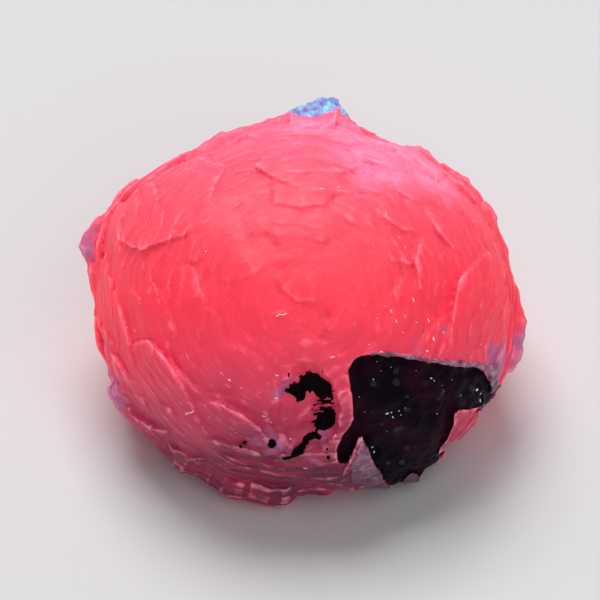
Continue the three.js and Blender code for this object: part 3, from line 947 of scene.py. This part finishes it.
def waxy_pink_calcite(tree):
    """Waxy coral-pink calcite, grown in thin sheets: light sinks a little into it, each standing
    rim gets a painted pale highlight and each cleft a painted shade, painted shade deepens it to a
    dark red low down and painted light makes it paler on top, it glows a little of itself as a
    painted glow, and cloudy lilac patches lie by the crust."""
    face = node(
        tree,
        "ShaderNodeMapping",
        {
            "Vector": node(tree, "ShaderNodeTexCoord").outputs["Object"],
            "Location": (0, 0, MIDDLE_HEIGHT * MM),
            "Rotation": (math.pi / 2 - AXIS_ELEVATION, 0, 0),
            "Scale": (MM, MM, MM),
        },
        vector_type="TEXTURE",
    ).outputs["Vector"]
    spot = node(tree, "ShaderNodeSeparateXYZ", {0: face}).outputs

    # Growth streaks 1 mm wide that follow the rings of plates for about 7 mm: the rings are counted
    # on a ball of 26 mm, and drawn together to one of 3.5 mm on their way round.
    flat = node(tree, "ShaderNodeVectorMath", {0: face, 1: (1, 1, 0)}, operation="MULTIPLY")
    around = node(tree, "ShaderNodeVectorMath", {0: flat.outputs[0]}, operation="NORMALIZE")
    reach = node(tree, "ShaderNodeVectorMath", {0: face}, operation="LENGTH").outputs["Value"]
    cosine = node(tree, "ShaderNodeMath", {0: spot["Z"], 1: reach}, operation="DIVIDE")
    polar = node(tree, "ShaderNodeMath", {0: cosine.outputs[0]}, operation="ARCCOSINE")
    ring = node(tree, "ShaderNodeMath", {0: polar.outputs[0], 1: 26.0}, operation="MULTIPLY")
    along = node(tree, "ShaderNodeCombineXYZ", {2: ring.outputs[0]}).outputs[0]
    spread = node(
        tree,
        "ShaderNodeVectorMath",
        {0: around.outputs[0], 1: (3.5, 3.5, 3.5), 2: along},
        operation="MULTIPLY_ADD",
    ).outputs[0]
    streaks = node(
        tree,
        "ShaderNodeTexNoise",
        {"Vector": spread, "Scale": 0.9, "Detail": 4, "Roughness": 0.6, "Distortion": 0.4},
    ).outputs["Fac"]

    # The tones follow the height on the face, with painted shade low down and painted light on top,
    # and clouds 11 mm wide let them drift by a few mm.
    clouds = node(tree, "ShaderNodeTexNoise", {"Vector": face, "Scale": 0.09, "Detail": 3})
    drifting = {0: clouds.outputs["Fac"], 1: 10.0, 2: spot["Y"]}
    drifted = node(tree, "ShaderNodeMath", drifting, operation="MULTIPLY_ADD").outputs[0]
    heights = {"Value": drifted, "From Min": -25.0, "From Max": 37.0}
    level = node(tree, "ShaderNodeMapRange", heights).outputs[0]
    ramp = node(tree, "ShaderNodeValToRGB", {"Fac": level}, stops=CALCITE_TONES_AND_PAINTED_SHADING)
    colour = tinted(tree, ramp.outputs["Color"], streaks, 0.35, 0.7, "#b82040", 0.4)

    # The patches have edges torn by up to 3.5 mm, and veins 2 mm wide run through them.
    veins = node(
        tree, "ShaderNodeTexNoise", {"Vector": face, "Scale": 0.5, "Detail": 5, "Roughness": 0.7}
    ).outputs["Fac"]
    torn = node(tree, "ShaderNodeTexNoise", {"Vector": face, "Scale": 0.22, "Detail": 4})
    tearing = {0: torn.outputs["Color"], 1: (7.0, 7.0, 7.0), 2: (-3.5, -3.5, -3.5)}
    moved = node(tree, "ShaderNodeVectorMath", tearing, operation="MULTIPLY_ADD").outputs[0]
    ragged = node(tree, "ShaderNodeVectorMath", {0: face, 1: moved}, operation="ADD").outputs[0]
    for places, least, full, tint, most in (
        # Pale pink patches high on the right: a painted highlight.
        (PAINTED_HIGHLIGHT_PATCHES, 0.05, 0.65, "#e07ca4", 0.8),
        (LILAC_PATCHES, 0.06, 0.42, "#94527c", 0.85),
        # Deep maroon patches low down: a painted shade.
        (PAINTED_SHADE_PATCHES, 0.02, 0.4, "#420c28", 0.8),
    ):
        veined = {0: patches(tree, ragged, places), 1: veins}
        cloudy = node(tree, "ShaderNodeMath", veined, operation="MULTIPLY").outputs[0]
        colour = tinted(tree, colour, cloudy, least, full, tint, most)

    # Painted highlight: corners that stand out of the surface are paler pink. Painted shade: sunken
    # ones are darker red.
    rim_light_and_cleft_shade = node(tree, "ShaderNodeAttribute", attribute_name="rim_light_and_cleft_shade").outputs["Fac"]
    colour = tinted(tree, colour, rim_light_and_cleft_shade, 0.07, 0.3, "#ff9db4", 0.42)
    colour = tinted(tree, colour, rim_light_and_cleft_shade, -0.04, -0.2, "#8c1230", 0.4)

    grain = node(
        tree, "ShaderNodeTexNoise", {"Vector": face, "Scale": 1.6, "Detail": 5, "Roughness": 0.6}
    ).outputs["Fac"]
    grains = {"Height": grain, "Strength": 0.35, "Distance": 0.12 * MM}
    fine = node(tree, "ShaderNodeBump", grains).outputs["Normal"]
    ridges = {"Height": streaks, "Strength": 0.6, "Distance": 0.35 * MM, "Normal": fine}
    gloss = node(tree, "ShaderNodeMapRange", {"Value": grain, "To Min": 0.42, "To Max": 0.66})
    return {
        "Base Color": colour,
        "Roughness": gloss.outputs[0],
        "Normal": node(tree, "ShaderNodeBump", ridges).outputs["Normal"],
        "IOR": 1.49,
        "Subsurface Weight": 0.6,
        "Subsurface Radius": (1.0, 0.25, 0.3),
        "Subsurface Scale": 4 * MM,
        # A painted glow: the calcite gives off light of its own colour, which lifts its shaded
        # sides.
        "Emission Color": colour,
        "Emission Strength": 0.6,
    }


def broken_dark_rock(tree):
    """Broken, near-black rock: dull and a little maroon, with glassy grains under 1 mm that are
    glossier and painted a paler grey-blue as a painted sparkle.
    """
    place = in_millimetres(tree)
    clouds = node(tree, "ShaderNodeTexNoise", {"Vector": place, "Scale": 0.16, "Detail": 5})
    grains = node(tree, "ShaderNodeTexVoronoi", {"Vector": place, "Scale": 1.1}).outputs["Color"]
    picked = node(tree, "ShaderNodeSeparateColor", {0: grains}).outputs["Red"]
    colour = tinted(tree, rgba("#0e0414"), clouds.outputs["Fac"], 0.4, 0.65, "#2a091b")
    gloss = node(
        tree,
        "ShaderNodeMapRange",
        {"Value": picked, "From Min": 0.975, "From Max": 0.98, "To Min": 0.5, "To Max": 0.12},
    )
    fine = node(tree, "ShaderNodeTexNoise", {"Vector": place, "Scale": 2.2, "Detail": 5})
    relief = {"Height": fine.outputs["Fac"], "Strength": 0.7, "Distance": 0.2 * MM}
    return {
        # Painted sparkle: the glassy grains are a paler grey-blue.
        "Base Color": tinted(tree, colour, picked, 0.975, 0.98, "#26303a"),
        "Roughness": gloss.outputs[0],
        "Normal": node(tree, "ShaderNodeBump", relief).outputs["Normal"],
        "Specular IOR Level": 0.05,
    }


def crumbly_black_crust(tree):
    """A crumbly black crust, brown-black on its heights and dull all over."""
    crumbs = node(
        tree,
        "ShaderNodeTexNoise",
        {"Vector": in_millimetres(tree), "Scale": 1.5, "Detail": 5, "Roughness": 0.7},
    ).outputs["Fac"]
    relief = {"Height": crumbs, "Strength": 0.8, "Distance": 0.15 * MM}
    return {
        "Base Color": tinted(tree, rgba("#060206"), crumbs, 0.45, 0.75, "#220a12"),
        "Roughness": 0.65,
        "Normal": node(tree, "ShaderNodeBump", relief).outputs["Normal"],
        "Specular IOR Level": 0.04,
    }


def cloudy_quartz(tree):
    """Lilac-grey quartz: glassy and cloudy, mauve where the calcite shows through it, and darker
    from 24 mm down to 14 mm over the base, a painted shade."""
    place = in_millimetres(tree)
    clouds = node(
        tree, "ShaderNodeTexNoise", {"Vector": place, "Scale": 0.5, "Detail": 5, "Roughness": 0.65}
    ).outputs["Fac"]
    tones = ((0.36, "#6b2f50"), (0.52, "#a8607f"), (0.7, "#e0c0da"))
    ramp = node(tree, "ShaderNodeValToRGB", {"Fac": clouds}, stops=tones).outputs["Color"]
    height = node(tree, "ShaderNodeSeparateXYZ", {0: place}).outputs["Z"]
    relief = {"Height": clouds, "Strength": 0.6, "Distance": 0.3 * MM}
    return {
        # Painted shade: the quartz turns a dark mauve from 24 mm down to 14 mm over the base.
        "Base Color": tinted(tree, ramp, height, 24.0, 14.0, "#5a2645", 0.75),
        "Roughness": 0.25,
        "Normal": node(tree, "ShaderNodeBump", relief).outputs["Normal"],
        "IOR": 1.54,
        "Subsurface Weight": 0.3,
        "Subsurface Radius": (1.0, 0.5, 0.8),
        "Subsurface Scale": 1.5 * MM,
    }


def powdery_pale_crust(tree):
    """A powdery crust of pale blue-white, greener on its heights and lilac lower down."""
    crumbs = node(
        tree,
        "ShaderNodeTexNoise",
        {"Vector": in_millimetres(tree), "Scale": 0.7, "Detail": 5, "Roughness": 0.7},
    ).outputs["Fac"]
    tones = ((0.35, "#8f7fd0"), (0.5, "#8fb4ee"), (0.66, "#a8ecf4"))
    ramp = node(tree, "ShaderNodeValToRGB", {"Fac": crumbs}, stops=tones)
    relief = {"Height": crumbs, "Strength": 0.8, "Distance": 0.25 * MM}
    return {
        "Base Color": ramp.outputs["Color"],
        "Roughness": 0.7,
        "Normal": node(tree, "ShaderNodeBump", relief).outputs["Normal"],
    }


def clear_grain(name, tint):
    """Small clear crystals and fibres: smooth and pale, and glowing a little of themselves, a
    painted glint.
    """
    bright = {
        "Base Color": rgba(tint),
        "Roughness": 0.15,
        "IOR": 1.54,
        # Painted glint: the grains and the lint give off a little light of their own.
        "Emission Color": rgba(tint),
        "Emission Strength": 0.25,
    }
    return material(name, lambda tree: bright)


def around_point(across, up, size, seed, sides=6):
    """A small uneven outline about a point, clockwise."""
    turns = [-2 * math.pi * k / sides for k in range(sides)]
    return [
        [
            across + about(size, 0.35, seed + 2 * k) * math.cos(turn),
            up + about(size, 0.35, seed + 2 * k + 1) * math.sin(turn),
        ]
        for k, turn in enumerate(turns)
    ]


def rib(left, right, height, seed):
    """The outline of a thin rib from its left end to its right end, clockwise."""
    (x, y), (u, v) = left, right
    middle = [(x + u) / 2, (y + v) / 2 + within(0.15, seed)]
    half = height / 2
    return [
        [x, y - half * 0.5], [x, y + half * 0.5], [middle[0], middle[1] + half],
        [u, v + half * 0.7], [u, v - half * 0.7], [middle[0], middle[1] - half],
    ]


def grown_on(skin, name, outlines, swell, deep, seed):
    """A crust on a piece: what of the swollen skin lies under some outlines, down to a depth."""
    crust = copy_of(skin, name)
    apply(crust, "DISPLACE", strength=swell * MM, mid_level=0.0)
    blocks = [
        column(f"{name}_{k}", outline, deep, FAR, 1.0, seed + k)
        for k, outline in enumerate(outlines)
    ]
    if len(blocks) > 1:
        fuse(blocks[0], blocks[1:])
    combine(crust, "INTERSECT", blocks[0])
    discard(blocks[0])
    return crust


def on_surface(thing, pixel):
    """Where a pixel of the picture meets an object, and the surface's direction there."""
    way = FACE.to_3x3() @ Vector((0, 0, -1))
    hit, at, outward, _ = thing.ray_cast(FACE_MM @ Vector((*on_face(pixel), FAR)), way)
    if not hit:
        raise RuntimeError(f"pixel {pixel} does not meet {thing.name}")
    return at, outward


def grain_master():
    """A small broken crystal, one across."""
    grain = primitive("grain", bpy.ops.mesh.primitive_ico_sphere_add, subdivisions=1, radius=0.5)
    edit(grain)
    bpy.ops.transform.vertex_random(offset=0.16, uniform=1, normal=0, seed=4)
    leave_edit()
    return grain


def sown(name, thing, spots):
    """Grains half sunk in a surface, each at a pixel with a length, a width and a direction."""
    master = grain_master()
    grains = []
    for x, y, length, width, degrees in spots:
        at, outward = on_surface(thing, (x, y))
        turn = math.radians(degrees)
        along = FACE.to_3x3() @ Vector((math.cos(turn), math.sin(turn), 0))
        side = outward.cross(along).normalized()
        turned = Matrix((side.cross(outward), side, outward)).transposed().to_4x4()
        long, wide = length / PIXELS_PER_MM, width / PIXELS_PER_MM
        grain = placed(name, master.data.copy())
        sized = IN_MM @ Matrix.Diagonal((long, wide, 0.7 * wide, 1))
        grain.data.transform(Matrix.Translation(at) @ turned @ sized)
        grains.append(grain)
    discard(master)
    only(*grains)
    bpy.ops.object.join()
    return bpy.context.object


def fibre(name, thing, pixels, width):
    """A bent fibre lying on a surface along some pixels."""
    lift = 1.1 * width * MM
    path = [at + lift * outward for at, outward in (on_surface(thing, pixel) for pixel in pixels)]
    add = bpy.ops.mesh.primitive_circle_add
    lint = primitive(name, add, vertices=5, radius=width * MM / 2, fill_type="NGON")
    turned = (path[1] - path[0]).to_track_quat("Z", "Y").to_matrix().to_4x4()
    lint.data.transform(Matrix.Translation(path[0]) @ turned)
    edit(lint)
    for start, end in zip(path, path[1:]):
        bpy.ops.mesh.extrude_region_move(TRANSFORM_OT_translate={"value": end - start})
    leave_closed()
    return lint


class RosetteSettings(bpy.types.PropertyGroup):
    """The sizes and colours of the rosette that a user would change."""

    swell: FloatProperty(
        name="Swell",
        description="Height of the soft swells on the calcite plates",
        default=CALCITE_SWELL * MM,
        unit="LENGTH",
    )
    floor_colour: FloatVectorProperty(
        name="Floor colour",
        description="Colour of the plain floor",
        default=linear("#d8d8da"),
        size=3,
        subtype="COLOR",
    )


class ROSETTE_OT_calcite(bpy.types.Operator):
    """Build the ball of overlapping calcite plates"""

    bl_idname = "rosette.calcite"
    bl_label = "Calcite rosette"

    def execute(self, context):
        skin = ball_core("calcite", CORE_INSET)
        masters = [plate_master(number) for number in range(6)]
        petals = [
            plate_on_ball(masters[number % len(masters)], number, place)
            for number, place in enumerate(ring_places())
        ]
        for k, sheet in enumerate(FRONT_SHEETS):
            petals.append(front_sheet(f"front_{k}", *sheet, 900 + 50 * k))
        for k, sheet in enumerate(OUTLINE_SHEETS):
            petals.append(outline_sheet(f"edge_{k}", *sheet, 3000 + 50 * k))
        fuse(skin, petals)
        discard(*masters)
        cut = traced("rock_room", 0.35, 3)
        shelf = shelf_block()
        combine(cut, "DIFFERENCE", shelf)
        bowl = hollow_bowl()
        outside = traced("under_the_outline", 0.5, 4)
        below = block_below()
        for tool in (cut, bowl, outside, below):
            combine(skin, "DIFFERENCE", tool)
        remesh(skin, CALCITE_VOXEL)
        soften_middle(skin)
        for ledge in LEDGES:
            grow_ledges(skin, *ledge)
        roughen(skin, "CLOUDS", CALCITE_SWELL_WIDTH, context.scene.rosette.swell / MM)
        combine(skin, "DIFFERENCE", below)
        discard(cut, shelf, bowl, outside, below)
        skin = largest_shell(skin)

        # The crusts grow on a copy, because a cut needs the skin as it is before it is thinned.
        low_right = copy_of(skin, "low_right")
        window = block_between("window", *CRUST_WINDOW)
        combine(low_right, "INTERSECT", window)
        discard(window)
        share = MOST_TRIANGLES / sum(len(face.vertices) - 2 for face in skin.data.polygons)
        if share < 1:
            apply(skin, "DECIMATE", ratio=share)
        mark_rim_light_and_cleft_shade(skin)
        finish = material("waxy_pink_calcite", waxy_pink_calcite)
        settle(skin, finish, "calcite", "calcite_rosette")
        return {"FINISHED"}


class ROSETTE_OT_dark_rock(bpy.types.Operator):
    """Build the broken dark rock"""

    bl_idname = "rosette.dark_rock"
    bl_label = "Dark rock"

    def execute(self, context):
        rock = ball_core("broken_rock", ROCK_INSET)
        rock.data.transform(FACE_MM @ Matrix.Translation(ROCK_SHIFT) @ FACE_MM.inverted())
        room = traced("rock_room", 0, 3)
        apply(room, "DISPLACE", strength=ROCK_LAP * MM, mid_level=0.0)
        shelf = shelf_block()
        combine(room, "DIFFERENCE", shelf)
        outside = traced("under_the_outline", 0.5, 4)
        below = block_below()
        combine(rock, "INTERSECT", room)
        remesh(rock, ROCK_VOXEL)
        for relief in ROCK_RELIEF:
            roughen(rock, *relief)
        combine(rock, "DIFFERENCE", outside)
        combine(rock, "DIFFERENCE", below)
        discard(room, shelf, outside, below)
        finish = material("broken_dark_rock", broken_dark_rock)
        settle(largest_shell(rock), finish, "dark_rock", "dark_rock", smooth=25)
        return {"FINISHED"}


class ROSETTE_OT_crusts(bpy.types.Operator):
    """Build the dark crusts, the quartz and the pale crust on the calcite"""

    bl_idname = "rosette.crusts"
    bl_label = "Crusts and quartz"

    def execute(self, context):
        low_right = bpy.data.objects["low_right"]
        below = block_below()
        traces = {name: [on_face(pixel) for pixel in pixels] for name, pixels in OUTLINES.items()}
        ribs_and_specks = [
            rib(on_face((x, y)), on_face((u, v)), RIB_HEIGHT, k)
            for k, (x, y, u, v) in enumerate(CRUST_RIBS)
        ] + [
            around_point(*on_face((x, y)), size / PIXELS_PER_MM, 40 + 9 * k)
            for k, (x, y, size) in enumerate(CRUST_SPECKS)
        ]
        dark = material("crumbly_black_crust", crumbly_black_crust), DARK_VOXEL, 0.5, "dark_crust"
        quartz = material("cloudy_quartz", cloudy_quartz), QUARTZ_VOXEL, 0.4, "quartz"
        for k, (name, under, traced_as, swell, deep) in enumerate(CRUSTS):
            outlines = [traces[outline] for outline in traced_as]
            if name == "dark_crust":
                outlines += ribs_and_specks
            finish, voxel, rough, slot = quartz if name.startswith("quartz") else dark
            skin = bpy.data.objects[under]
            crust = grown_on(skin, name + "_grown", outlines, swell, deep, k + 5)
            remesh(crust, voxel)
            roughen(crust, "CLOUDS", 0.6, rough)
            combine(crust, "DIFFERENCE", below)
            settle(crust, finish, slot, name)
        discard(low_right, below)

        lump = traced("pale_crust", 0.8, 2)
        lump.name = "pale_crust_grown"
        mound = pale_mound()
        combine(lump, "INTERSECT", mound)
        discard(mound)
        remesh(lump, PALE_VOXEL)
        roughen(lump, "CLOUDS", 1.6, 1.2)
        roughen(lump, "CLOUDS", 0.5, 0.5)
        finish = material("powdery_pale_crust", powdery_pale_crust)
        settle(lump, finish, "pale_crust", "pale_crust", smooth=25)
        return {"FINISHED"}


class ROSETTE_OT_glints(bpy.types.Operator):
    """Sow pale glassy grains as painted glints, and lay the lint"""

    bl_idname = "rosette.glints"
    bl_label = "Glints and lint"

    def execute(self, context):
        calcite = bpy.data.objects["calcite"]
        for name, body, spots, tint in (
            ("rock_painted_glints", bpy.data.objects["broken_rock"], ROCK_PAINTED_GLINTS, "#bfe4ee"),
            ("calcite_painted_glints", calcite, CALCITE_PAINTED_GLINTS, "#f4c8e0"),
        ):
            settle(sown(name, body, spots), clear_grain(name, tint), "quartz", smooth=20)
        fibres = [
            fibre(f"lint_{k}", calcite, pixels, LINT_WIDTH) for k, pixels in enumerate(LINT)
        ]
        only(*fibres)
        bpy.ops.object.join()
        context.object.name = "lint"
        settle(context.object, clear_grain("white_lint", "#f6dfe6"), "pale_crust", smooth=60)
        return {"FINISHED"}


class ROSETTE_OT_stage(bpy.types.Operator):
    """Set the floor, the soft lights and the camera"""

    bl_idname = "rosette.stage"
    bl_label = "Stage"

    def execute(self, context):
        colour = (*context.scene.rosette.floor_colour, 1)
        floor = primitive("floor", bpy.ops.mesh.primitive_plane_add, size=FLOOR_SIZE)
        matt = material("matt_floor", lambda tree: {"Base Color": colour, "Roughness": 0.9})
        floor.data.materials.append(matt)

        middle = FACE.translation
        for name, way, away, size, power in LAMPS:
            lamp = bpy.data.lights.new(name, "AREA")
            lamp.size = size
            lamp.energy = power
            held = placed(name, lamp)
            held.location = middle + (FACE.to_3x3() @ Vector(way)).normalized() * away
            held.rotation_euler = (middle - held.location).to_track_quat("-Z", "Y").to_euler()
        world = bpy.data.worlds.new("studio")
        world.use_nodes = True
        sky = world.node_tree.nodes["Background"].inputs
        sky["Color"].default_value = (1, 1, 1, 1)
        sky["Strength"].default_value = SKY_STRENGTH
        context.scene.world = world
        context.scene.view_settings.view_transform = "Standard"

        lens = bpy.data.cameras.new("photo_view")
        lens.sensor_width = SENSOR_WIDTH
        lens.lens = SENSOR_WIDTH * CAMERA_AWAY / (PICTURE_WIDTH / PIXELS_PER_MM)
        lens.clip_start = 0.01
        lens.clip_end = 10
        camera = placed("photo_view", lens)
        picture_middle = on_face((PICTURE_WIDTH / 2, PICTURE_WIDTH / 2))
        camera.location = FACE_MM @ Vector((*picture_middle, CAMERA_AWAY))
        camera.rotation_euler = FACE.to_euler()
        context.scene.camera = camera
        return {"FINISHED"}


class ROSETTE_PT_panel(bpy.types.Panel):
    """The rosette's settings and steps"""

    bl_idname = "ROSETTE_PT_panel"
    bl_label = "Pink calcite rosette"
    bl_space_type = "VIEW_3D"
    bl_region_type = "UI"
    bl_category = "Rosette"

    def draw(self, context):
        for name in RosetteSettings.__annotations__:
            self.layout.prop(context.scene.rosette, name)
        for step in STEPS:
            self.layout.operator(step.bl_idname)


STEPS = (
    ROSETTE_OT_calcite,
    ROSETTE_OT_dark_rock,
    ROSETTE_OT_crusts,
    ROSETTE_OT_glints,
    ROSETTE_OT_stage,
)
CLASSES = (RosetteSettings, *STEPS, ROSETTE_PT_panel)


def register():
    for kind in CLASSES:
        bpy.utils.register_class(kind)
    bpy.types.Scene.rosette = PointerProperty(type=RosetteSettings)


def unregister():
    del bpy.types.Scene.rosette
    for kind in reversed(CLASSES):
        bpy.utils.unregister_class(kind)


def main():
    register()
    bpy.ops.rosette.calcite()
    bpy.ops.rosette.dark_rock()
    bpy.ops.rosette.crusts()
    bpy.ops.rosette.glints()
    bpy.ops.rosette.stage()


if __name__ == "__main__":
    main()
